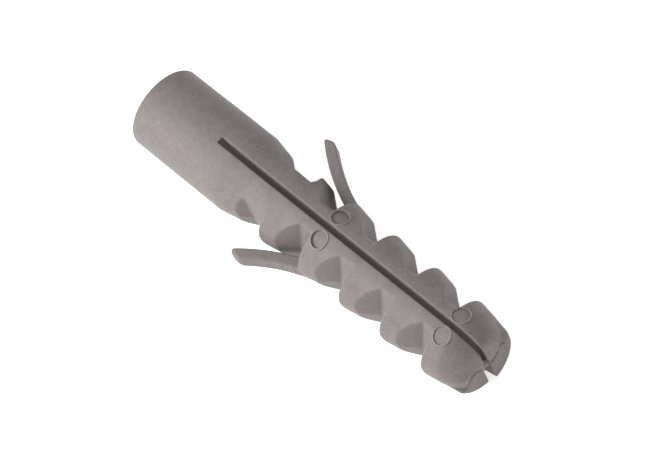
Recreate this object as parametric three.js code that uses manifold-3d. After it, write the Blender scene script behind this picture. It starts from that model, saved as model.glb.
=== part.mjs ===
// Slotted nylon wall anchor for a 10 mm hole, 50 mm long.
// The axis runs along +Y from the mouth (y = 0) to the tip. The expansion slot opens towards +Z and -Z,
// so the two jaws lie at -X (left) and +X (right), and each jaw carries one locking tongue.
// The anchor is one moulding that bends at thin places. It is split there: the collar sleeve, two jaws
// hinged at the slot root and two tongues hinged on the second tooth of each jaw.
import * as THREE from "three";
import { ConvexGeometry } from "three/addons/geometries/ConvexGeometry.js";
import { mergeVertices } from "three/addons/utils/BufferGeometryUtils.js";
import Module from "manifold-3d";

const wasm = await Module();
wasm.setup();

// ---- Driving dimensions, in millimetres and degrees ----

const plugLength = 50;
const collarDiameter = 9.8;
const crestRelief = 0.17; // the teeth stand this far below the collar
const slotWidth = 0.72;
const slotStart = 10.8; // from the mouth to the root of the slot
const jointGap = 0.3; // between the solids that the real moulding joins by a living hinge

// Bore: a funnel at the mouth, then a channel that narrows between the jaws
const boreDiameter = 6.6;
const boreEndDiameter = 5.9; // at the slot root
const channelDiameter = 2.6; // where the channel between the jaws ends
const channelEnd = 36;
const mouthChamfer = 0.45;
const mouthEdge = 0.25;

// Teeth
const toothCount = 4; // four shoulders: three full teeth and the tip
const toothPitch = 6.22;
const firstShoulder = 19.9; // y of the first rear shoulder on the parting plane
const shoulderDraft = 6.5;
const flankAngle = 36; // front flank to the axis
const flankDraft = 19;
const floorLength = 1.4; // of a notch on the parting plane
const notchDepth = 1.95; // below the crest, on the parting plane
const floorDraft = 15.5;
const crestTaper = 10; // a crest leans in towards the tip
const crestLand = 0.5; // length at full width behind each shoulder
const crestLength = 3.0; // from a shoulder to the next front flank

// Collar end and the shallow first notch, where a folded tongue lies
const collarTaperStart = 13.4;
const collarTaper = 9.5;
const collarTaperEnd = 16.9;
const firstNotchDepth = 1.42;
const firstNotchStart = 17.75; // y where its floor begins, on the parting plane
const firstFloorDraft = 5.5;
const leftSetback = 0.5; // how far the first shoulder is cut back on the left jaw
const leftDraft = 25.6; // and how far it leans there

// Tip
const tipTaper = 9.8;
const nearNoseRadius = 1.3;
const farNoseRadius = 0.25;
const rightTipSetback = 0.6; // the far half of the tip ends short of the near half
const leftTipSetback = 0.25; // the torn gate stands proud here
const slotFlareLength = 1.8; // the slot opens out towards its end
const slotFlare = 0.12;
const bridgeLength = 0.9;
const bridgeBase = -1.0;
const bridgeTop = 0.8;

// Locking tongues: the left one lies just above the parting plane, the right one just below it
const tongueLength = 8.75;
const tongueThickness = 1.1;
const tongueHeight = 2.0;
const tongueRootAngle = 19; // to the axis
const tongueTipAngle = 39.5;
const tongueOffset = 0.8; // middle of the tongue, off the parting plane
const tongueRootInset = 0.75; // middle of the root, in from the crest
const tongueBevel = 0.75;
const tongueTooth = 1; // index of the tooth that carries the tongue
const tongueStubLength = 1.5; // how far the root runs on into the tooth

const colour = { sleeve: 0x9d9491, jaw: 0x978e8b, tongue: 0x8a817d };
const roundSegments = 60;
const cutterReach = 3; // a cutter runs this far past the outer surface
const flareOverrun = 2; // the flare cutter is this many times as long as the flare

// ---- Derived sizes ----

const collarRadius = collarDiameter / 2;
const crestRadius = collarRadius - crestRelief;
const tongueRootX = crestRadius - tongueRootInset; // from the axis
const sleeveEnd = slotStart - jointGap / 2;
const jawStart = slotStart + jointGap / 2;
const notchFloorX = crestRadius - notchDepth;
const firstFloorX = crestRadius - firstNotchDepth;
const outside = collarRadius + cutterReach;
const lap = 0.01; // two cutters or halves overlap by this where they join
const noseSteps = 5;
const quarterRoundInset = 1 - Math.SQRT1_2; // of the middle of a quarter round, per unit radius
const tan = (degrees) => Math.tan(THREE.MathUtils.degToRad(degrees));
const shoulderY = (index) => firstShoulder + index * toothPitch;
const tongueRootY = shoulderY(tongueTooth);
const taperedWidth = (radius, length, angle) => 1 - (length * tan(angle)) / radius;

// ---- Solids ----

function toSolid(geometry) {
  const bare = geometry.clone();
  bare.deleteAttribute("normal");
  bare.deleteAttribute("uv");
  const merged = mergeVertices(bare, 1e-4);
  return new wasm.Manifold(
    new wasm.Mesh({
      numProp: 3,
      vertProperties: merged.attributes.position.array,
      triVerts: new Uint32Array(merged.index.array),
    }),
  );
}

function toGeometry(solid) {
  const mesh = solid.getMesh();
  const geometry = new THREE.BufferGeometry();
  geometry.setAttribute("position", new THREE.BufferAttribute(mesh.vertProperties, 3));
  geometry.setIndex(new THREE.BufferAttribute(mesh.triVerts, 1));
  geometry.computeVertexNormals();
  return geometry;
}

const union = (solids) => solids.reduce((whole, solid) => whole.add(solid));
const point = (side, half, x, y, z) => new THREE.Vector3(side * x, y, half * z);

// A solid of revolution about the Y axis from [radius, y] pairs.
function turned(profile) {
  const points = profile.map(([radius, y]) => new THREE.Vector2(radius, y));
  return new THREE.LatheGeometry(points, roundSegments);
}

function block(xFrom, xTo, yFrom, yTo, zFrom, zTo) {
  const geometry = new THREE.BoxGeometry(xTo - xFrom, yTo - yFrom, zTo - zFrom);
  geometry.translate((xFrom + xTo) / 2, (yFrom + yTo) / 2, (zFrom + zTo) / 2);
  return toSolid(geometry);
}

// Stations [y, width] along the jaws, where width scales the outer surface along X.
// Each crest is widest at its shoulder and leans in towards the tip. The spine beside the slot keeps its height.
function widthStations() {
  const stations = [
    [jawStart, 1],
    [collarTaperStart, 1],
    [collarTaperEnd, taperedWidth(collarRadius, collarTaperEnd - collarTaperStart, collarTaper)],
  ];
  for (let index = 0; index < toothCount; index++) {
    const y = shoulderY(index);
    stations.push([y, 1]);
    stations.push([y + crestLand, 1]);
    stations.push([y + crestLength, taperedWidth(crestRadius, crestLength - crestLand, crestTaper)]);
  }
  const tipStart = shoulderY(toothCount) + crestLand;
  stations.push([shoulderY(toothCount), 1]);
  stations.push([tipStart, 1]);
  stations.push([plugLength, taperedWidth(crestRadius, plugLength - tipStart, tipTaper)]);
  return stations;
}

const stations = widthStations();

function widthAt(y) {
  const next = Math.max(1, stations.findIndex(([stationY]) => stationY >= y - lap));
  const [fromY, fromWidth] = stations[next - 1];
  const [toY, toWidth] = stations[next];
  return THREE.MathUtils.mapLinear(y, fromY, toY, fromWidth, toWidth);
}

// The outer envelope of both jaws before the notches are cut.
function jawEnvelope(noseRadius) {
  const profile = [[0, jawStart]];
  for (const [y] of stations.slice(0, -1)) {
    profile.push([y < collarTaperEnd ? collarRadius : crestRadius, y]);
  }
  for (let step = 0; step <= noseSteps; step++) {
    const angle = (step / noseSteps) * (Math.PI / 2);
    const radius = crestRadius - noseRadius + noseRadius * Math.cos(angle);
    profile.push([radius, plugLength - noseRadius + noseRadius * Math.sin(angle)]);
  }
  profile.push([0, plugLength]);
  const geometry = turned(profile);
  const position = geometry.attributes.position;
  for (let vertex = 0; vertex < position.count; vertex++) {
    position.setX(vertex, position.getX(vertex) * widthAt(position.getY(vertex)));
  }
  return toSolid(geometry);
}

// The tip's near half is a round nose, and its far half is cut off square a little sooner.
function tippedEnvelope(setback) {
  const nearHalf = block(-outside, outside, 0, plugLength + 1, -lap, outside);
  const farHalf = block(-outside, outside, 0, plugLength - setback, -outside, lap);
  const near = jawEnvelope(nearNoseRadius).intersect(nearHalf);
  const far = jawEnvelope(farNoseRadius + setback).intersect(farHalf);
  return near.add(far);
}

// A wedge that opens the slot out towards the end of the tip.
function slotFlareCutter() {
  const start = plugLength - slotFlareLength;
  const end = plugLength + slotFlareLength;
  const corners = [];
  for (const z of [-outside, outside]) {
    for (const side of [-1, 1]) {
      corners.push(point(side, 1, slotWidth / 2, start, z));
      corners.push(point(side, 1, slotWidth / 2 + slotFlare * flareOverrun, end, z));
    }
  }
  return toSolid(new ConvexGeometry(corners));
}

// One moulded notch on one side and half: a slanting front flank, a floor and an upright shoulder.
// Every wall is drafted, so the notch opens out away from the parting plane.
function notchCutter(side, half, floorX, floorFrom, floorTo, draft, lean) {
  const corners = [];
  for (const z of [-lap, collarRadius + jointGap]) {
    const x = floorX - z * tan(draft);
    const front = floorFrom + (floorX - x) / tan(flankAngle) - z * tan(flankDraft);
    const rear = floorTo + z * tan(lean);
    corners.push(point(side, half, x, front, z));
    corners.push(point(side, half, x, rear, z));
    corners.push(point(side, half, outside, front - (outside - x) / tan(flankAngle), z));
    corners.push(point(side, half, outside, rear, z));
  }
  return toSolid(new ConvexGeometry(corners));
}

function notches(side) {
  const firstRear = firstShoulder + (side < 0 ? leftSetback : 0);
  const firstLean = side < 0 ? leftDraft : shoulderDraft;
  const cutters = [];
  for (const half of [1, -1]) {
    const first = [firstFloorX, firstNotchStart, firstRear, firstFloorDraft, firstLean];
    cutters.push(notchCutter(side, half, ...first));
    for (let index = 1; index <= toothCount; index++) {
      const rear = shoulderY(index);
      const floorStart = rear - floorLength;
      cutters.push(notchCutter(side, half, notchFloorX, floorStart, rear, floorDraft, shoulderDraft));
    }
  }
  return union(cutters);
}

// The bore's narrowing channel between the jaws.
function channel() {
  return toSolid(
    turned([
      [0, sleeveEnd],
      [boreEndDiameter / 2, sleeveEnd],
      [channelDiameter / 2, channelEnd],
      [0, channelEnd + channelDiameter / 2],
    ]),
  );
}

// Outline of a tongue seen along Z: an arc from its root on the tooth, pointing back to the mouth.
// The root runs on into the tooth as a straight stub, and the free end is cut to a bevel.
function tongueOutline() {
  const steps = 8;
  const inner = [];
  const outer = [];
  const place = (x, y, angle, bevel) => {
    const half = tongueThickness / 2;
    const [sine, cosine] = [Math.sin(angle), Math.cos(angle)];
    inner.push([x - half * cosine, y - half * sine]);
    outer.push([x + half * cosine - bevel * sine, y + half * sine + bevel * cosine]);
  };
  let x = tongueRootX;
  let y = tongueRootY;
  const rootAngle = THREE.MathUtils.degToRad(tongueRootAngle);
  const tipAngle = THREE.MathUtils.degToRad(tongueTipAngle);
  const stub = tongueStubLength;
  place(x - stub * Math.sin(rootAngle), y + stub * Math.cos(rootAngle), rootAngle, 0);
  for (let step = 0; step <= steps; step++) {
    const angle = THREE.MathUtils.lerp(rootAngle, tipAngle, step / steps);
    place(x, y, angle, step === steps ? tongueBevel : 0);
    x += (tongueLength / steps) * Math.sin(angle);
    y -= (tongueLength / steps) * Math.cos(angle);
  }
  return [...inner, ...outer.reverse()];
}

function tongueWithStub(side) {
  const shape = new THREE.Shape(tongueOutline().map(([x, y]) => new THREE.Vector2(side * x, y)));
  const geometry = new THREE.ExtrudeGeometry(shape, { depth: tongueHeight, bevelEnabled: false });
  geometry.translate(0, 0, -side * tongueOffset - tongueHeight / 2);
  return toSolid(geometry);
}

// The moving tongue stops a joint gap short of the tooth, whose stub carries it.
function tongue(side) {
  const tooth = block(-outside, outside, tongueRootY - jointGap, plugLength, -outside, outside);
  return tongueWithStub(side).subtract(tooth);
}

function tongueStub(side) {
  const tooth = block(-outside, outside, tongueRootY, plugLength, -outside, outside);
  return tongueWithStub(side).intersect(tooth);
}

function sleeve() {
  const [outer, bore, boreEnd] = [collarRadius, boreDiameter / 2, boreEndDiameter / 2];
  return toSolid(
    turned([
      [bore + mouthChamfer, 0],
      [outer - mouthEdge, 0],
      [outer - mouthEdge * quarterRoundInset, mouthEdge * quarterRoundInset],
      [outer, mouthEdge],
      [outer, sleeveEnd],
      [boreEnd, sleeveEnd],
      [bore, mouthChamfer],
      [bore + mouthChamfer, 0],
    ]),
  );
}

// The left jaw keeps a remnant of the moulded bridge that held the jaw tips together.
function bridge() {
  const face = -slotWidth / 2;
  const end = plugLength - rightTipSetback;
  const reach = face + slotWidth - jointGap;
  return block(face - slotFlare, reach, end - bridgeLength, end, bridgeBase, bridgeTop);
}

function jaw(side) {
  const sides = [side * (slotWidth / 2), side * outside].sort((a, b) => a - b);
  const half = block(sides[0], sides[1], jawStart, plugLength + 1, -outside, outside);
  const envelope = tippedEnvelope(side < 0 ? leftTipSetback : rightTipSetback).intersect(half);
  const body = envelope.subtract(notches(side)).subtract(channel()).subtract(slotFlareCutter());
  const solid = body.add(tongueStub(side));
  return side < 0 ? solid.add(bridge()) : solid;
}

// ---- Scene graph ----

function part(name, solid, tint) {
  const material = new THREE.MeshStandardMaterial({ color: tint, roughness: 0.62, metalness: 0 });
  const mesh = new THREE.Mesh(toGeometry(solid), material);
  mesh.name = name;
  return mesh;
}

const anchor = new THREE.Group();
anchor.name = "wall_anchor";
anchor.add(part("sleeve", sleeve(), colour.sleeve));
for (const [label, side] of [["left", -1], ["right", 1]]) {
  const half = new THREE.Group();
  half.add(part("jaw_" + label, jaw(side), colour.jaw));
  half.add(part("tongue_" + label, tongue(side), colour.tongue));
  anchor.add(half);
}

export default anchor;
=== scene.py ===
"""The looks of a slotted nylon wall anchor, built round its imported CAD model.

The anchor is one moulding. Its skin follows one rule, a signed distance in millimetres, from which the
whole surface is drawn as a mesh. The skin is then parted where the moulding bends: at the root of the slot
and at the root of each tongue.
"""

import math

import bmesh
import bpy
import numpy as np
from mathutils import Matrix, Vector


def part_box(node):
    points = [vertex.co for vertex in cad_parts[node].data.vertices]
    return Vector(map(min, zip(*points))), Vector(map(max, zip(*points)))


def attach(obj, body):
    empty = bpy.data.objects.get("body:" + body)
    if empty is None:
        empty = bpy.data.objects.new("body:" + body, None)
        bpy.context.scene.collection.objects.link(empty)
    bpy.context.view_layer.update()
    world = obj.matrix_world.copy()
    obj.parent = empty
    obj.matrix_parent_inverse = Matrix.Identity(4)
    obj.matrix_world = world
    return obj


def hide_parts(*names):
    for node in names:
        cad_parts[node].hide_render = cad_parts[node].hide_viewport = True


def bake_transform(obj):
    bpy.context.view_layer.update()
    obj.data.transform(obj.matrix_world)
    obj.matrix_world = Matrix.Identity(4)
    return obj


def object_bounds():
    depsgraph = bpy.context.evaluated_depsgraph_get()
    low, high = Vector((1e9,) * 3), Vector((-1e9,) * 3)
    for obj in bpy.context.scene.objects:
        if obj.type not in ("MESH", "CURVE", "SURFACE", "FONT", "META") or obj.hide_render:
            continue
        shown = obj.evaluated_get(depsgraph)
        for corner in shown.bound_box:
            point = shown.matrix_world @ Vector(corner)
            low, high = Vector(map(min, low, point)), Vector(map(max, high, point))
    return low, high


bl_info = {
    "name": "Slotted wall anchor",
    "version": (1, 0, 0),
    "blender": (4, 5, 0),
    "location": "3D View > Sidebar > Wall anchor",
    "description": "Builds the moulded skin of a slotted wall anchor, its finish and its studio",
    "category": "Add Mesh",
}

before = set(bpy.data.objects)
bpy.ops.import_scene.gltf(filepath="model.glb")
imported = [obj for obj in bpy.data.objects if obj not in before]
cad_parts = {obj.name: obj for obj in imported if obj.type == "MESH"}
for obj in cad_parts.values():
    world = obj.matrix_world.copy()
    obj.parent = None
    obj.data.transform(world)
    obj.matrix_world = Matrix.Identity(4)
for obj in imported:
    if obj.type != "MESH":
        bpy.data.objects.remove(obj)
CAD_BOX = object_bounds()

MM = 0.001
COLLAR_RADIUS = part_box("sleeve")[1].x / MM
PLUG_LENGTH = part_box("jaw_left")[1].y / MM

# ---- Sizes that the skin shares with the CAD model, in millimetres; drafts and tapers are slopes ----

CREST_RADIUS = 4.73
SLOT_START = 10.8
TOOTH_PITCH = 6.22
FIRST_SHOULDER = 19.9
LAST_TOOTH = 4
SHOULDER_DRAFT = math.tan(math.radians(6.5))
FLANK_SLOPE = math.tan(math.radians(36))
FLANK_DRAFT = math.tan(math.radians(19))
CREST_LAND = 0.5
CREST_LENGTH = 3.0
CREST_TAPER = math.tan(math.radians(10))
TIP_TAPER = math.tan(math.radians(9.2))
COLLAR_TAPER = math.tan(math.radians(8.5))
COLLAR_TAPER_START = 13.4
COLLAR_TAPER_END = 16.9
NOTCH_DEPTH = 1.95
NOTCH_FLOOR = 1.4  # length of a notch's floor
NOTCH_DRAFT = 0.277
NOTCH_REACH = 1.9  # a notch is looked for this far past its shoulder
FIRST_NOTCH_START = 17.75
FIRST_NOTCH_DRAFT = 0.096
FIRST_NOTCH_DEPTHS = (1.55, 1.42)  # on the left jaw and on the right
LEFT_SETBACK = 0.5  # the left jaw's first shoulder is cut back and leans
LEFT_LEAN = 0.48
TONGUE_LENGTH = 8.75
TONGUE_ROOT = (3.98, FIRST_SHOULDER + TOOTH_PITCH)
TONGUE_ROOT_ANGLE = math.radians(19)
TONGUE_TIP_ANGLE = math.radians(39.5)
TONGUE_OFFSET = 0.8
LEFT_TONGUE_EXTRA = 0.42
TONGUE_HALF_HEIGHT = 1.0
TONGUE_HALVES = (0.64, 0.6)  # half its thickness at the root and at the free end
TONGUE_BEVEL = 0.68
TONGUE_SUNK = 1.5  # how far its root runs into the jaw
BORE = ((-1, 4.75), (0.45, 3.3), (10.65, 2.95), (36, 1.3))  # radius at each Y, with the mouth's chamfer
BORE_END = 36.9
SLOT = ((SLOT_START, 0.385), (47, 0.345))  # half width at each Y

# ---- Sizes of the skin alone, in millimetres ----

COLLAR_CUT = 11.2  # the skin is parted here, just past the root of the slot
TONGUE_CUT = 25.5  # and here, just off the shoulder that carries the tongues
TONGUE_CUT_REACH = 3.15  # the second parting takes in only what lies this far from the middle
TONGUE_SIDE = 4.2  # a piece whose middle is farther out than this is a tongue
SKIN_MARGIN = (8.4, 5.3)  # half the drawing box in X and in Z
SKIN_ENDS = (-0.4, PLUG_LENGTH + 0.5)
CREST_EDGE = 0.08  # rounding between a crest and a shoulder
FLANK_EDGE = 0.28  # and between a crest and a flank
NOTCH_ROUNDING = 0.12
MOUTH_ROUNDING = 0.12
BORE_ROUNDING = 0.16
BORE_END_ROUNDING = 0.6
SLOT_ROUNDING = 0.1
TONGUE_ROUNDING = 0.12
TONGUE_END_ROUNDING = 0.8
TONGUE_FILLET = 0.15
TIP_SLOPE = ((47.2, 0), (PLUG_LENGTH, 0.95))  # how far the near half draws in at each Y
TIP_SETBACKS = (0.25, 0.62)  # of the torn end, on the left jaw and on the right
TIP_ROUNDINGS = ((1.2, 0.6), (3.2, 2.8))  # on each jaw: the near half, and how much less on the far
TIP_SHIFT = 0.12  # the slot and the bridge in it lean this far to the left at the tip
WEB_CENTRE = (-TIP_SHIFT, 49.25, -0.75)
WEB_HALF = (0.5, 0.3, 0.8)
WEB_BOX = ((-1.1, 48.2, -1.9), (1.0, 49.9, 1.5))
WEB_STEP = 0.06
PIN_MARKS = ((1.62, 27.8), (1.47, 46.2))  # centres, as X off the slot and Y from the mouth
PIN_DEPTHS = (0.17, 0.07)
PIN_RECESS_RADIUS = 0.97
PIN_LIP_SUNK = 0.03

# ---- Finish and studio ----

SPECK_COLOUR = (0.13, 0.085, 0.06)
# Colour of the painted shade in the crease along the torn edge at the tip
CREASE_SHADE_COLOUR = (0.035, 0.026, 0.022)
FLOOR_GLOW = 0.66
FLOOR_SIZE = 2.4  # metres
FLOOR_GAP = 0.00002
MIDDLE = (0, 0.026, 0)  # of the anchor, in metres
KEY_PLACE = (0.3, -0.28, 0.27)  # of the key light, from that middle
KEY_SIZE = 0.3
CAMERA_BACK = (0.174, 0.4817, 0.8589)  # from the anchor towards the camera
CAMERA_UP = (-0.7055, -0.5475, 0.45)
CAMERA_AIM = (0, 25.97, 0)  # in millimetres
CAMERA_UNIT = 4.9  # the next two are told in this many millimetres
CAMERA_SHIFT = (-0.11785, 0.10870)  # to the right and up
CAMERA_DISTANCE = 88


# ---- The rule of the shape ----


def smooth_max(a, b, reach):
    """The larger of two distances, with the edge between them rounded over reach."""
    overlap = np.maximum(reach - np.abs(a - b), 0) / reach
    return np.maximum(a, b) + overlap * overlap * reach / 4


def smooth_min(a, b, reach):
    """The smaller of two distances, with the crease between them filled over reach."""
    return -smooth_max(-a, -b, reach)


def ease(value, start, end):
    """0 at start and 1 at end, with a soft step between."""
    share = np.clip((value - start) / (end - start), 0, 1)
    return share * share * (3 - 2 * share)


def eased_profile(stations, blur=0.1):
    """A function of Y through [y, value] stations, with its corners eased."""
    spacing, taps = 0.05, 12
    ys = np.arange(-3, PLUG_LENGTH + 3, spacing)
    values = np.interp(ys, *zip(*stations))
    reach = np.arange(-taps, taps + 1) * spacing
    kernel = np.exp(-((reach / blur) ** 2))
    padded = np.pad(values, taps, mode="edge")
    eased = np.convolve(padded, kernel / kernel.sum(), mode="valid")
    return lambda y: np.interp(y, ys, eased)


def width_stations():
    """How much the outer surface narrows along X, from the collar to the tip."""
    collar_lean = 1 - (COLLAR_TAPER_END - COLLAR_TAPER_START) * COLLAR_TAPER / COLLAR_RADIUS
    stations = [(COLLAR_TAPER_START, 1), (COLLAR_TAPER_END, collar_lean)]
    crest_lean = 1 - (CREST_LENGTH - CREST_LAND) * CREST_TAPER / CREST_RADIUS
    for tooth in range(LAST_TOOTH):
        y = FIRST_SHOULDER + tooth * TOOTH_PITCH
        stations += [(y, 1), (y + CREST_LAND, 1), (y + CREST_LENGTH, crest_lean)]
    y = FIRST_SHOULDER + LAST_TOOTH * TOOTH_PITCH
    tip_lean = 1 - (PLUG_LENGTH - y - CREST_LAND) * TIP_TAPER / CREST_RADIUS
    return stations + [(y, 1), (y + CREST_LAND, 1), (PLUG_LENGTH, tip_lean)]


width_at = eased_profile(width_stations())
outer_radius_at = eased_profile([(COLLAR_TAPER_START, COLLAR_RADIUS), (COLLAR_TAPER_END, CREST_RADIUS)])
bore_radius_at = eased_profile(BORE, 0.08)
slot_half_at = eased_profile(SLOT)
tip_slope_at = eased_profile(TIP_SLOPE)


def envelope(x, y, z):
    """The round outside, without its notches, slot, bore and ends."""
    return np.sqrt((x / width_at(y)) ** 2 + z * z) - outer_radius_at(y) + tip_slope_at(y) * ease(z, 0, 1.5)


def rough(x, y, z, scale):
    """A smooth, uneven value between about -1 and 1."""
    a = np.sin(x * scale * 1.31 + np.sin(z * scale * 0.83) * 1.7)
    b = np.sin(z * scale * 1.17 + np.sin(y * scale * 1.93 + x * scale * 0.71) * 1.3)
    return (a + b + np.sin((x + z) * scale * 2.3 + y)) / 3


def tear(x, z):
    """Height of the line across the tip where the gate was torn off."""
    right = np.maximum(0.05 - 0.9 * (x - 1.5) ** 2, -2)
    left = -0.6 + 1.15 * np.exp(-(((x + 2.5) / 0.7) ** 2)) + 0.3 * rough(x, 0 * x, z, 9.0)
    return np.where(x > 0, right, left)


def crack(x, y, z):
    """How close a point lies above that line, from 0 to 1: where shade is painted into the crease along
    the torn edge.
    """
    edge = np.exp(-(((z - tear(x, z) - 0.18) / 0.28) ** 2))
    return edge * ease(np.abs(x - 0.3), 0.3, 0.6) * ease(np.abs(x), 3.1, 2.7) * ease(y, 48.6, 49.2)


def ended(outer, x, y, z):
    """The envelope with its square mouth, and a tip with a domed near half and a flat, torn far half."""
    solid = smooth_max(outer, -y, MOUTH_ROUNDING)
    setback = np.where(x > 0, TIP_SETBACKS[1], TIP_SETBACKS[0])
    far = ease(tear(x, z) - z, -0.06, 0.1)
    left, right = (near - less * far for near, less in TIP_ROUNDINGS)
    rounding = np.where(x > 0, right, left)
    return smooth_max(solid, y - PLUG_LENGTH + setback * far, rounding)


def notch(x, y, z):
    """The space in front of the nearest shoulder: a slanting flank, a drafted floor and a shoulder."""
    tooth = np.clip(np.ceil((y - NOTCH_REACH - FIRST_SHOULDER) / TOOTH_PITCH), 0, LAST_TOOTH)
    first = tooth == 0
    cut_back = np.where(first & (x < 0), LEFT_SETBACK, 0)
    lean = np.where(first & (x < 0), LEFT_LEAN, SHOULDER_DRAFT)
    rear = FIRST_SHOULDER + tooth * TOOTH_PITCH + cut_back
    floor_x = CREST_RADIUS - np.where(first, np.where(x < 0, *FIRST_NOTCH_DEPTHS), NOTCH_DEPTH)
    floor_start = np.where(first, FIRST_NOTCH_START, rear - NOTCH_FLOOR)
    floor_draft = np.where(first, FIRST_NOTCH_DRAFT, NOTCH_DRAFT)
    out, up = np.abs(x), np.sqrt(z * z + 0.01) - 0.1
    floor = (floor_x - up * floor_draft - out) / np.sqrt(1 + floor_draft**2)
    front = floor_start - y + (floor_x - out) / FLANK_SLOPE - up * FLANK_DRAFT
    front = front / math.sqrt(1 + FLANK_SLOPE**-2 + FLANK_DRAFT**2)
    shoulder = (y - rear - up * lean) / np.sqrt(1 + lean**2)
    space = smooth_max(smooth_max(front, floor, NOTCH_ROUNDING), shoulder, NOTCH_ROUNDING)
    return space, front, shoulder


def tongue(x, y, z):
    """A curved strap from the second shoulder, thinner and rounded at its free end."""
    curve = TONGUE_LENGTH / (TONGUE_TIP_ANGLE - TONGUE_ROOT_ANGLE)
    centre_x = TONGUE_ROOT[0] + curve * math.cos(TONGUE_ROOT_ANGLE)
    centre_y = TONGUE_ROOT[1] + curve * math.sin(TONGUE_ROOT_ANGLE)
    across, along = centre_x - np.abs(x), centre_y - y
    outwards = curve - np.hypot(across, along)
    run = (np.arctan2(along, across) - TONGUE_ROOT_ANGLE) * curve
    half = np.interp(run, [0, TONGUE_LENGTH], TONGUE_HALVES)
    length = TONGUE_LENGTH + np.where(x < 0, LEFT_TONGUE_EXTRA, 0)
    side = np.abs(z + np.sign(x) * TONGUE_OFFSET) - TONGUE_HALF_HEIGHT
    strap = smooth_max(np.abs(outwards) - half, side, TONGUE_ROUNDING)
    free_end = run - length + TONGUE_BEVEL * (outwards + half)
    strap = smooth_max(strap, free_end, TONGUE_END_ROUNDING)
    return smooth_max(strap, -TONGUE_SUNK - run, 0.2)


def pin_recess(outer, x, y, z):
    """Shallow round dimples where the ejector pins pressed."""
    cut = np.full_like(outer, 9.0)
    for (centre_x, centre_y), depth in zip(PIN_MARKS, PIN_DEPTHS):
        edge = np.hypot(np.abs(x) - centre_x, y - centre_y) - PIN_RECESS_RADIUS
        cut = np.minimum(cut, smooth_max(smooth_max(edge, -outer - depth, 0.06), -z, 0.1))
    return cut


def slot(x, y, z):
    """The space between the jaws, which leans to the left at the tip and opens there on the far half."""
    tip = ease(y, 47.5, 49.7)
    half = slot_half_at(y) + tip * (0.1 - 0.18 * ease(z, -0.6, 0.6))
    return smooth_max(np.abs(x + TIP_SHIFT * tip) - half, SLOT_START - y, 0.1)


def shelter(x, y, z):
    """How deep in the slot a point of the skin lies: 0 outside, 1 well within; it sets how much painted
    light glows on the slot walls.
    """
    in_slot = ease(0.62 - np.abs(x), 0, 0.1)
    in_bore = ease(bore_radius_at(y) + 0.2 - np.hypot(x, z), 0, 0.1)
    within = np.maximum(in_slot, in_bore)
    return within * ease(-envelope(x, y, z), 0.1, 1.0) * ease(y, 4, 7) * ease(y, 49.2, 48.6)


def anchor(x, y, z):
    """Distance from the whole moulding: below zero inside."""
    outer = envelope(x, y, z)
    solid = ended(outer, x, y, z)
    solid = smooth_max(solid, -pin_recess(outer, x, y, z), 0.08)
    space, front, shoulder = notch(x, y, z)
    edge = CREST_EDGE + (FLANK_EDGE - CREST_EDGE) * ease(shoulder - front, -0.5, 0.5)
    solid = smooth_max(solid, -space, edge)
    bore = smooth_max(np.hypot(x, z) - bore_radius_at(y), y - BORE_END, BORE_END_ROUNDING)
    solid = smooth_max(solid, -bore, BORE_ROUNDING)
    solid = smooth_max(solid, -slot(x, y, z), SLOT_ROUNDING)
    return smooth_min(solid, tongue(x, y, z), TONGUE_FILLET)


def web(x, y, z):
    """The thin bridge left in the slot between the jaw tips, torn along its far edge."""
    ragged = 0.07 * rough(x, y, z, 6.0)
    across = np.abs(x - WEB_CENTRE[0]) - WEB_HALF[0]
    along = np.abs(y - WEB_CENTRE[1]) - WEB_HALF[1] - ragged
    deep = np.abs(z - WEB_CENTRE[2]) - WEB_HALF[2] - 2 * ragged
    return smooth_max(smooth_max(across, along, 0.2), deep, 0.25)


# ---- Drawing a mesh from the rule ----

CORNERS = [(i, j, k) for i in (0, 1) for j in (0, 1) for k in (0, 1)]
EDGES = [(a, b) for a in CORNERS for b in CORNERS if a < b and sum(p != q for p, q in zip(a, b)) == 1]


def sampled(rule, low, step, counts):
    """The rule's values on a grid, a few rows at a time to spare memory."""
    axes = [low[a] + step * np.arange(counts[a]) for a in range(3)]
    values = np.empty(counts, np.float32)
    batch = 16
    for start in range(0, counts[1], batch):
        rows = slice(start, start + batch)
        grid = np.meshgrid(axes[0], axes[1][rows], axes[2], indexing="ij")
        values[:, rows, :] = rule(*grid)
    return values


def settled(rule, points, step, rounds=3):
    """Moves points on to the surface along the steepest way."""
    nudge = 0.01
    for _ in range(rounds):
        here = rule(*points.T)
        slope = np.empty_like(points)
        for axis in range(3):
            shift = np.zeros(3)
            shift[axis] = nudge
            slope[:, axis] = (rule(*(points + shift).T) - rule(*(points - shift).T)) / (2 * nudge)
        size = np.maximum((slope**2).sum(1), 0.05)
        move = (here / size)[:, None] * slope
        points = points - np.clip(move, -step / 2, step / 2)
    return points


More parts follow.
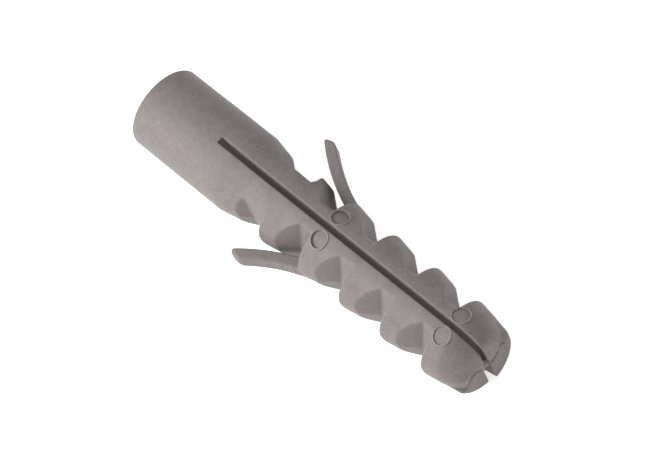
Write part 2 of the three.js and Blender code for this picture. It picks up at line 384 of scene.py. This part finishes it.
def drawn(rule, low, high, step):
    """The surface where the rule is zero: points, four-sided faces and each point's grid row along Y."""
    low, high = np.array(low, float), np.array(high, float)
    counts = np.ceil((high - low) / step).astype(int) + 1
    values = sampled(rule, low, step, counts)
    inside = values < 0
    held = sum(inside[tuple(slice(c, c + n - 1) for c, n in zip(corner, counts))].astype(np.int8)
               for corner in CORNERS)
    active = (held > 0) & (held < 8)
    cells = np.argwhere(active)
    index = np.full(active.shape, -1, np.int32)
    index[active] = np.arange(len(cells))
    total, crossings = np.zeros((len(cells), 3)), np.zeros(len(cells))
    for a, b in EDGES:
        start, end = values[tuple((cells + a).T)], values[tuple((cells + b).T)]
        crossed = (start < 0) != (end < 0)
        share = np.where(crossed, start / np.where(crossed, start - end, 1), 0)
        at = np.array(a) + share[:, None] * (np.array(b) - np.array(a))
        total += at * crossed[:, None]
        crossings += crossed
    points = low + step * (cells + total / crossings[:, None])
    faces = []
    for axis in range(3):
        u, v = (axis + 1) % 3, (axis + 2) % 3
        near = [slice(1, -1)] * 3
        far = [slice(1, -1)] * 3
        near[axis], far[axis] = slice(0, -1), slice(1, None)
        starts, ends = inside[tuple(near)], inside[tuple(far)]
        at = np.argwhere(starts != ends)
        outwards = starts[tuple(at.T)]
        base = at + 1
        base[:, axis] -= 1
        ring = []
        for du, dv in ((1, 1), (0, 1), (0, 0), (1, 0)):
            cell = base.copy()
            cell[:, u] -= du
            cell[:, v] -= dv
            ring.append(index[tuple(cell.T)])
        quads = np.stack(ring, 1)
        quads[~outwards] = quads[~outwards][:, ::-1]
        faces.append(quads)
    return settled(rule, points, step), np.concatenate(faces), cells[:, 1]


def parted(points, faces, rows, row, cut, reach=0.0):
    """Parts the surface along one grid row, beyond X = reach.

    The faces before the row get their own copies of its points.
    """
    on_cut = (rows == row) & (np.abs(points[:, 0]) > reach)
    points[on_cut, 1] = cut
    copies = np.cumsum(on_cut) - 1 + len(points)
    before = on_cut[faces].any(1) & (rows[faces].max(1) <= row)
    faces = faces.copy()
    chosen = faces[before]
    faces[before] = np.where(on_cut[chosen], copies[chosen], chosen)
    return np.concatenate([points, points[on_cut]]), faces, np.concatenate([rows, rows[on_cut] - 0.5])


def mesh_object(name, points, faces):
    """A mesh object, which also carries at each point how strongly the slot glows with painted light and
    how much painted shade lies in the crease at the tip.
    """
    used, faces = np.unique(faces, return_inverse=True)
    points, faces = points[used], faces.reshape(-1, 4)
    mesh = bpy.data.meshes.new(name)
    mesh.vertices.add(len(points))
    mesh.vertices.foreach_set("co", (points * MM).astype(np.float32).ravel())
    mesh.loops.add(faces.size)
    mesh.loops.foreach_set("vertex_index", faces.astype(np.int32).ravel())
    mesh.polygons.add(len(faces))
    mesh.polygons.foreach_set("loop_start", np.arange(0, faces.size, 4, dtype=np.int32))
    mesh.update(calc_edges=True)
    mesh.validate()
    for kind, rule in (("shelter", shelter), ("crack", crack)):
        values = mesh.attributes.new(kind, "FLOAT", "POINT")
        values.data.foreach_set("value", rule(*points.T).astype(np.float32))
    made = bpy.data.objects.new(name, mesh)
    bpy.context.scene.collection.objects.link(made)
    return made


def finish_mesh(piece):
    """Caps the open ends that parting left, keeps their rims crisp and shades the rest smooth."""
    body = bmesh.new()
    body.from_mesh(piece.data)
    rim = [edge for edge in body.edges if edge.is_boundary]
    if rim:
        bmesh.ops.holes_fill(body, edges=rim, sides=0)
    for edge in rim:
        edge.smooth = False
    for face in body.faces:
        face.smooth = True
    bmesh.ops.triangulate(body, faces=[face for face in body.faces if len(face.verts) > 4])
    body.to_mesh(piece.data)
    body.free()
    piece.data.update()


def loose_parts(whole):
    """Separates an object into its unconnected pieces."""
    bpy.ops.object.select_all(action="DESELECT")
    whole.select_set(True)
    bpy.context.view_layer.objects.active = whole
    bpy.ops.mesh.separate(type="LOOSE")
    return list(bpy.context.selected_objects)


def centre_of(piece):
    """The mean of a piece's points, in millimetres."""
    co = np.empty(len(piece.data.vertices) * 3, np.float32)
    piece.data.vertices.foreach_get("co", co)
    return co.reshape(-1, 3).mean(0) / MM


# ---- Finish ----


class Wire:
    """The output of a node, which can be used in sums."""

    def __init__(self, maker, socket):
        self.maker = maker
        self.socket = socket

    def _sum(self, operation, first, second):
        return self.maker.node("ShaderNodeMath", {"operation": operation}, {0: first, 1: second})

    def __add__(self, other):
        return self._sum("ADD", self, other)

    __radd__ = __add__

    def __sub__(self, other):
        return self._sum("SUBTRACT", self, other)

    def __rsub__(self, other):
        return self._sum("SUBTRACT", other, self)

    def __mul__(self, other):
        return self._sum("MULTIPLY", self, other)

    __rmul__ = __mul__

    def __pow__(self, other):
        return self._sum("POWER", self, other)


class NodeMaker:
    """Makes the nodes of one tree."""

    def __init__(self, tree):
        self.tree = tree

    def node(self, kind, settings=None, sockets=None, output=0):
        """A node of a kind: its settings are made first, then its sockets get values or links."""
        made = self.tree.nodes.new(kind)
        for name, value in (settings or {}).items():
            if name == "stops":
                ramp = made.color_ramp
                while len(ramp.elements) < len(value):
                    ramp.elements.new(0.5)
                for element, (position, colour) in zip(ramp.elements, value):
                    element.position = position
                    element.color = colour
            else:
                setattr(made, name, value)
        for name, value in (sockets or {}).items():
            if isinstance(value, Wire):
                self.tree.links.new(value.socket, made.inputs[name])
            else:
                made.inputs[name].default_value = value
        return Wire(self, made.outputs[output]) if len(made.outputs) else made


def rgba(colour, factor=1.0):
    """A colour made lighter or darker, with full alpha."""
    return (*[min(1.0, channel * factor) for channel in colour], 1.0)


def new_material(name):
    """An empty material and the maker of its nodes."""
    material = bpy.data.materials.new(name)
    material.use_nodes = True
    material.node_tree.nodes.clear()
    return material, NodeMaker(material.node_tree)


# painted_highlight_gain lightens the colour, as a painted highlight; 1 leaves it as it is.
def moulded_plastic(settings, name, torn=0.0, painted_highlight_gain=1.0):
    """Warm grey nylon with a fine matt skin, faint flow mottling and small specks, with painted shade in
    the crease at the torn tip and a painted glow in the slot.
    """
    material, maker = new_material(name)
    place = maker.node("ShaderNodeTexCoord", output=3)
    stretched = maker.node("ShaderNodeMapping", {}, {"Vector": place, "Scale": (1, 0.45, 1)})

    def noise(vector, scale, detail, roughness=0.5):
        return maker.node("ShaderNodeTexNoise", {}, {"Vector": vector, "Scale": scale, "Detail": detail,
                                                     "Roughness": roughness})

    clouds = maker.node("ShaderNodeValToRGB", {"stops": [(0.4, (0, 0, 0, 1)), (0.6, (1, 1, 1, 1))]},
                         {"Fac": noise(stretched, 230, 3)})
    mottle = noise(place, 1100, 4, 0.6)
    grain = noise(place, 5200, 2, 0.7)
    specks = maker.node("ShaderNodeTexVoronoi", {"feature": "F1"}, {"Vector": place, "Scale": 620.0})
    speck_mask = maker.node("ShaderNodeValToRGB", {"stops": [(0.05, (1, 1, 1, 1)), (0.11, (0, 0, 0, 1))]},
                            {"Fac": specks})
    plain = settings.plastic_colour
    warm = maker.node("ShaderNodeMix", {"data_type": "RGBA"},
                      {0: clouds, 6: rgba(plain, painted_highlight_gain), 7: rgba(settings.warm_colour, painted_highlight_gain)}, output=2)
    shade = maker.node("ShaderNodeValToRGB", {"stops": [(0.3, (0.5, 0.5, 0.5, 1)), (0.7, (1, 1, 1, 1))]},
                       {"Fac": mottle * 0.4 + grain * 0.6})
    toned = maker.node("ShaderNodeMix", {"data_type": "RGBA", "blend_type": "MULTIPLY"},
                       {0: settings.mottling, 6: warm, 7: shade}, output=2)
    speckled = maker.node("ShaderNodeMix", {"data_type": "RGBA"},
                          {0: speck_mask * 0.3, 6: toned, 7: rgba(SPECK_COLOUR)}, output=2)
    # Painted shade: the colour is darkened in a thin band just above the torn edge, where the crease's
    # shadow falls.
    crease_shade_mask = maker.node("ShaderNodeAttribute", {"attribute_name": "crack"}, output=2)
    crease_shaded = maker.node("ShaderNodeMix", {"data_type": "RGBA"},
                         {0: crease_shade_mask * 0.85, 6: speckled, 7: rgba(CREASE_SHADE_COLOUR)}, output=2)
    height = mottle * (0.35 + torn) + grain * 0.35
    bump = maker.node("ShaderNodeBump", {}, {"Height": height, "Strength": 0.35 + 0.5 * torn,
                                             "Distance": settings.skin_depth})
    roughness = 0.5 + mottle * 0.16 + clouds * 0.08
    # Painted light: the walls deep in the slot glow by emission, in place of light coming through the
    # nylon and bouncing into the slot.
    slot_glow_mask = maker.node("ShaderNodeAttribute", {"attribute_name": "shelter"}, output=2)
    glow = maker.node("ShaderNodeMix", {"data_type": "RGBA"},
                      {0: slot_glow_mask, 6: (0, 0, 0, 1), 7: rgba(settings.glow_colour)}, output=2)
    shader = maker.node("ShaderNodeBsdfPrincipled", {}, {
        "Emission Color": glow, "Emission Strength": 1.0, "Base Color": crease_shaded, "Roughness": roughness,
        "Normal": bump, "IOR": 1.5, "Specular IOR Level": 0.25})
    maker.node("ShaderNodeOutputMaterial", {}, {"Surface": shader})
    return material


def give(piece, material):
    """Covers a piece with one material."""
    piece.data.materials.clear()
    piece.data.materials.append(material)


# ---- Ejector pin marks, by Geometry Nodes ----


def lip_tree(material):
    """A raised bead round each pin mark, laid on the round of the crest."""
    tree = bpy.data.node_groups.new("pin mark lips", "GeometryNodeTree")
    face = tree.interface
    face.new_socket("Geometry", in_out="INPUT", socket_type="NodeSocketGeometry")
    names = ("Mark radius", "Bead radius", "Crest radius", "First X", "First Y", "Second X", "Second Y")
    for name in names:
        face.new_socket(name, in_out="INPUT", socket_type="NodeSocketFloat")
    face.new_socket("Geometry", in_out="OUTPUT", socket_type="NodeSocketGeometry")
    maker = NodeMaker(tree)
    entry = tree.nodes.new("NodeGroupInput")
    value = {name: Wire(maker, entry.outputs[name]) for name in names}
    places = []
    for which in ("First", "Second"):
        spot = maker.node("ShaderNodeCombineXYZ", {}, {"X": value[which + " X"], "Y": value[which + " Y"]})
        places.append(
            maker.node("GeometryNodeMeshLine", {"mode": "OFFSET"}, {"Count": 1, "Start Location": spot}))
    points = maker.node("GeometryNodeJoinGeometry")
    for place in places:
        tree.links.new(place.socket, points.socket.node.inputs[0])
    circle = maker.node("GeometryNodeCurvePrimitiveCircle", {},
                        {"Resolution": 72, "Radius": value["Mark radius"]})
    bead = maker.node("GeometryNodeCurvePrimitiveCircle", {},
                      {"Resolution": 12, "Radius": value["Bead radius"]})
    ring = maker.node("GeometryNodeCurveToMesh", {}, {"Curve": circle, "Profile Curve": bead})
    laid = maker.node("GeometryNodeInstanceOnPoints", {}, {"Points": points, "Instance": ring})
    real = maker.node("GeometryNodeRealizeInstances", {}, {"Geometry": laid})
    position = maker.node("GeometryNodeInputPosition")
    split = maker.node("ShaderNodeSeparateXYZ", {}, {"Vector": position})
    across = Wire(maker, split.socket.node.outputs["X"])
    height = (value["Crest radius"] * value["Crest radius"] - across * across) ** 0.5
    lift = maker.node("ShaderNodeCombineXYZ", {}, {"Z": height})
    moved = maker.node("GeometryNodeSetPosition", {}, {"Geometry": real, "Offset": lift})
    shaded = maker.node("GeometryNodeSetShadeSmooth", {}, {"Geometry": moved})
    done = maker.node("GeometryNodeSetMaterial", {}, {"Geometry": shaded, "Material": material})
    leave = tree.nodes.new("NodeGroupOutput")
    tree.links.new(done.socket, leave.inputs[0])
    return tree


def lips(name, tree, side, settings):
    """The lips on one jaw, as a plain mesh."""
    seed = bpy.data.objects.new(name + "_seed", bpy.data.meshes.new(name))
    bpy.context.scene.collection.objects.link(seed)
    modifier = seed.modifiers.new("lips", "NODES")
    modifier.node_group = tree
    entries = [item for item in tree.interface.items_tree if item.in_out == "INPUT"]
    identifiers = {item.name: item.identifier for item in entries}
    values = {
        "Mark radius": settings.pin_diameter / 2,
        "Bead radius": settings.pin_lip,
        "Crest radius": (CREST_RADIUS - PIN_LIP_SUNK) * MM,
        "First X": side * PIN_MARKS[0][0] * MM,
        "First Y": PIN_MARKS[0][1] * MM,
        "Second X": side * PIN_MARKS[1][0] * MM,
        "Second Y": PIN_MARKS[1][1] * MM,
    }
    for key, value in values.items():
        modifier[identifiers[key]] = value
    bpy.context.view_layer.update()
    depsgraph = bpy.context.evaluated_depsgraph_get()
    mesh = bpy.data.meshes.new_from_object(seed.evaluated_get(depsgraph), depsgraph=depsgraph)
    made = bpy.data.objects.new(name, mesh)
    bpy.context.scene.collection.objects.link(made)
    bpy.data.objects.remove(seed)
    return made


# ---- Settings ----


class AnchorSettings(bpy.types.PropertyGroup):
    """What a user would change in the anchor's skin and finish."""

    mesh_step: bpy.props.FloatProperty(
        name="Mesh step", description="Spacing of the grid that the skin is drawn on", default=0.00012,
        min=0.00006, unit="LENGTH", precision=5)
    pin_diameter: bpy.props.FloatProperty(
        name="Pin mark", description="Diameter of an ejector pin mark", default=0.00206, unit="LENGTH",
        precision=5)
    pin_lip: bpy.props.FloatProperty(
        name="Pin lip", description="Radius of the bead round a pin mark", default=0.00009, unit="LENGTH",
        precision=5)
    skin_depth: bpy.props.FloatProperty(
        name="Skin depth", description="Depth of the fine texture of the moulded skin", default=0.00006,
        unit="LENGTH", precision=6)
    mottling: bpy.props.FloatProperty(
        name="Mottling", description="How strongly the shade of the plastic varies", default=0.75,
        min=0, max=1, subtype="FACTOR")
    plastic_colour: bpy.props.FloatVectorProperty(
        name="Plastic", description="Colour of the nylon", default=(0.208, 0.178, 0.173), min=0, max=1,
        subtype="COLOR")
    warm_colour: bpy.props.FloatVectorProperty(
        name="Warm tint", description="Colour of the warmer clouds in the nylon",
        default=(0.203, 0.183, 0.175), min=0, max=1, subtype="COLOR")
    # Colour of the painted light that glows on the slot walls
    glow_colour: bpy.props.FloatVectorProperty(
        name="Slot glow", description="Light that soaks through the nylon into the slot",
        default=(0.04, 0.031, 0.029), min=0, max=1, subtype="COLOR")


class StudioSettings(bpy.types.PropertyGroup):
    """The floor, lights and camera round the anchor."""

    floor_colour: bpy.props.FloatVectorProperty(
        name="Floor", description="Colour of the floor", default=(0.9, 0.9, 0.9), min=0, max=1,
        subtype="COLOR")
    key_power: bpy.props.FloatProperty(
        name="Key light", description="Power of the large soft light", default=3.5, unit="POWER")
    sky: bpy.props.FloatProperty(
        name="Surround", description="Strength of the even light from all round", default=0.68, min=0)
    lens: bpy.props.FloatProperty(
        name="Lens", description="Focal length of the camera", default=225.7, unit="CAMERA")


# ---- Operators ----


class ANCHOR_OT_skin(bpy.types.Operator):
    """Draws the moulding and parts it into the collar, the two jaws and the two tongues"""

    bl_idname = "anchor.skin"
    bl_label = "Moulded skin"

    def execute(self, context):
        settings = context.scene.anchor_settings
        step = settings.mesh_step / MM * 1
        low = (-SKIN_MARGIN[0], SKIN_ENDS[0], -SKIN_MARGIN[1])
        high = (SKIN_MARGIN[0], SKIN_ENDS[1], SKIN_MARGIN[1])
        points, faces, rows = drawn(anchor, low, high, step)
        collar_row = int((COLLAR_CUT - low[1]) / step)
        tongue_row = int((TONGUE_CUT - low[1]) / step)
        points, faces, rows = parted(points, faces, rows, collar_row, COLLAR_CUT)
        points, faces, rows = parted(points, faces, rows, tongue_row, TONGUE_CUT, TONGUE_CUT_REACH)
        pieces = loose_parts(mesh_object("anchor_skin", points, faces))
        plastic = moulded_plastic(settings, "moulded nylon")
        named = {}
        for piece in pieces:
            x, y, _ = centre_of(piece)
            side = "left" if x < 0 else "right"
            if y < COLLAR_CUT:
                key = "collar"
            elif abs(x) > TONGUE_SIDE:
                key = "tongue_" + side
            else:
                key = "jaw_" + side
            if key in named:
                raise RuntimeError("the skin came apart into more pieces than the anchor has")
            named[key] = piece
            piece.name = piece.data.name = key + "_skin"
            finish_mesh(piece)
            give(piece, plastic)
        if len(named) != 5:
            raise RuntimeError("the skin has " + str(len(named)) + " pieces and not 5")
        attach(named["collar"], "collar")
        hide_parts("sleeve")
        for side in ("left", "right"):
            jaw, strap = named["jaw_" + side], named["tongue_" + side]
            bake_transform(jaw)
            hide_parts("jaw_" + side)
            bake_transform(strap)
            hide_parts("tongue_" + side)
        return {"FINISHED"}


class ANCHOR_OT_pin_marks(bpy.types.Operator):
    """Lays a raised lip round each ejector pin mark"""

    bl_idname = "anchor.pin_marks"
    bl_label = "Pin mark lips"

    def execute(self, context):
        settings = context.scene.anchor_settings
        # The lips are painted 1.2 times lighter: a painted highlight where their rims catch the light.
        plastic = moulded_plastic(settings, "pin lip nylon painted lighter", painted_highlight_gain=1.2)
        tree = lip_tree(plastic)
        for side, name in ((-1, "left"), (1, "right")):
            ring = lips("pin_lips_" + name, tree, side, settings)
            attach(ring, name + "_jaw")
        return {"FINISHED"}


class ANCHOR_OT_bridge(bpy.types.Operator):
    """Makes the torn bridge between the jaw tips"""

    bl_idname = "anchor.bridge"
    bl_label = "Torn bridge"

    def execute(self, context):
        settings = context.scene.anchor_settings
        points, faces, _ = drawn(web, *WEB_BOX, WEB_STEP)
        bridge = mesh_object("tip_bridge", points, faces)
        finish_mesh(bridge)
        give(bridge, moulded_plastic(settings, "torn nylon", torn=0.5))
        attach(bridge, "left_jaw")
        return {"FINISHED"}


class ANCHOR_OT_studio(bpy.types.Operator):
    """Sets the floor, the lights and the camera"""

    bl_idname = "anchor.studio"
    bl_label = "Studio"

    def execute(self, context):
        settings = context.scene.studio_settings
        self.floor(settings)
        self.lights(context, settings)
        self.camera(context, settings)
        context.scene.view_settings.view_transform = "Standard"
        context.scene.view_settings.look = "None"
        return {"FINISHED"}

    def floor(self, settings):
        """A pale floor just under the anchor."""
        bpy.ops.mesh.primitive_grid_add(x_subdivisions=4, y_subdivisions=4, size=FLOOR_SIZE)
        floor = bpy.context.active_object
        floor.name = "floor"
        floor.data.transform(Matrix.Translation((0, 0, CAD_BOX[0].z - FLOOR_GAP)))
        material, maker = new_material("pale floor")
        shader = maker.node("ShaderNodeBsdfPrincipled", {}, {
            "Base Color": rgba(settings.floor_colour), "Roughness": 0.9, "Specular IOR Level": 0.1,
            "Emission Color": rgba(settings.floor_colour), "Emission Strength": FLOOR_GLOW})
        maker.node("ShaderNodeOutputMaterial", {}, {"Surface": shader})
        floor.data.materials.append(material)

    def lights(self, context, settings):
        """An even surround and one large soft light."""
        world = bpy.data.worlds.new("studio")
        world.use_nodes = True
        world.node_tree.nodes.clear()
        maker = NodeMaker(world.node_tree)
        sky = maker.node("ShaderNodeBackground", {}, {"Color": (1, 1, 1, 1), "Strength": settings.sky})
        maker.node("ShaderNodeOutputWorld", {}, {"Surface": sky})
        context.scene.world = world
        place = Vector(KEY_PLACE)
        data = bpy.data.lights.new("key", "AREA")
        data.energy = settings.key_power
        data.size = KEY_SIZE
        lamp = bpy.data.objects.new("key", data)
        lamp.location = Vector(MIDDLE) + place
        lamp.rotation_euler = (-place).to_track_quat("-Z", "Y").to_euler()
        context.scene.collection.objects.link(lamp)

    def camera(self, context, settings):
        """A long lens that looks down on the anchor from over its tip."""
        back = Vector(CAMERA_BACK).normalized()
        up = Vector(CAMERA_UP)
        up = (up - up.dot(back) * back).normalized()
        right = up.cross(back)
        aside = CAMERA_SHIFT[0] * right + CAMERA_SHIFT[1] * up
        place = Vector(CAMERA_AIM) + CAMERA_UNIT * (aside + CAMERA_DISTANCE * back)
        data = bpy.data.cameras.new("camera")
        data.sensor_width = 36
        data.lens = settings.lens
        data.clip_start, data.clip_end = 0.01, 10
        camera = bpy.data.objects.new("camera", data)
        turn = Matrix((right, up, back)).transposed().to_4x4()
        camera.matrix_world = Matrix.Translation(place * MM) @ turn
        context.scene.collection.objects.link(camera)
        context.scene.camera = camera


class ANCHOR_PT_panel(bpy.types.Panel):
    """Shows the anchor's settings and the buttons that build it"""

    bl_label = "Wall anchor"
    bl_idname = "ANCHOR_PT_panel"
    bl_space_type = "VIEW_3D"
    bl_region_type = "UI"
    bl_category = "Wall anchor"

    def draw(self, context):
        layout = self.layout
        for group in (context.scene.anchor_settings, context.scene.studio_settings):
            column = layout.column()
            for name in group.__annotations__:
                column.prop(group, name)
        for operator in BUILD_ORDER:
            layout.operator(operator.bl_idname)


BUILD_ORDER = (ANCHOR_OT_skin, ANCHOR_OT_pin_marks, ANCHOR_OT_bridge, ANCHOR_OT_studio)
CLASSES = (AnchorSettings, StudioSettings, *BUILD_ORDER, ANCHOR_PT_panel)


def register():
    """Registers the classes and hangs the settings on the scene."""
    for each in CLASSES:
        bpy.utils.register_class(each)
    bpy.types.Scene.anchor_settings = bpy.props.PointerProperty(type=AnchorSettings)
    bpy.types.Scene.studio_settings = bpy.props.PointerProperty(type=StudioSettings)


def unregister():
    """Takes away what register made."""
    del bpy.types.Scene.studio_settings
    del bpy.types.Scene.anchor_settings
    for each in reversed(CLASSES):
        bpy.utils.unregister_class(each)


def main():
    """Builds every piece and the studio."""
    register()
    bpy.ops.anchor.skin()
    bpy.ops.anchor.pin_marks()
    bpy.ops.anchor.bridge()
    bpy.ops.anchor.studio()


if __name__ == "__main__":
    main()
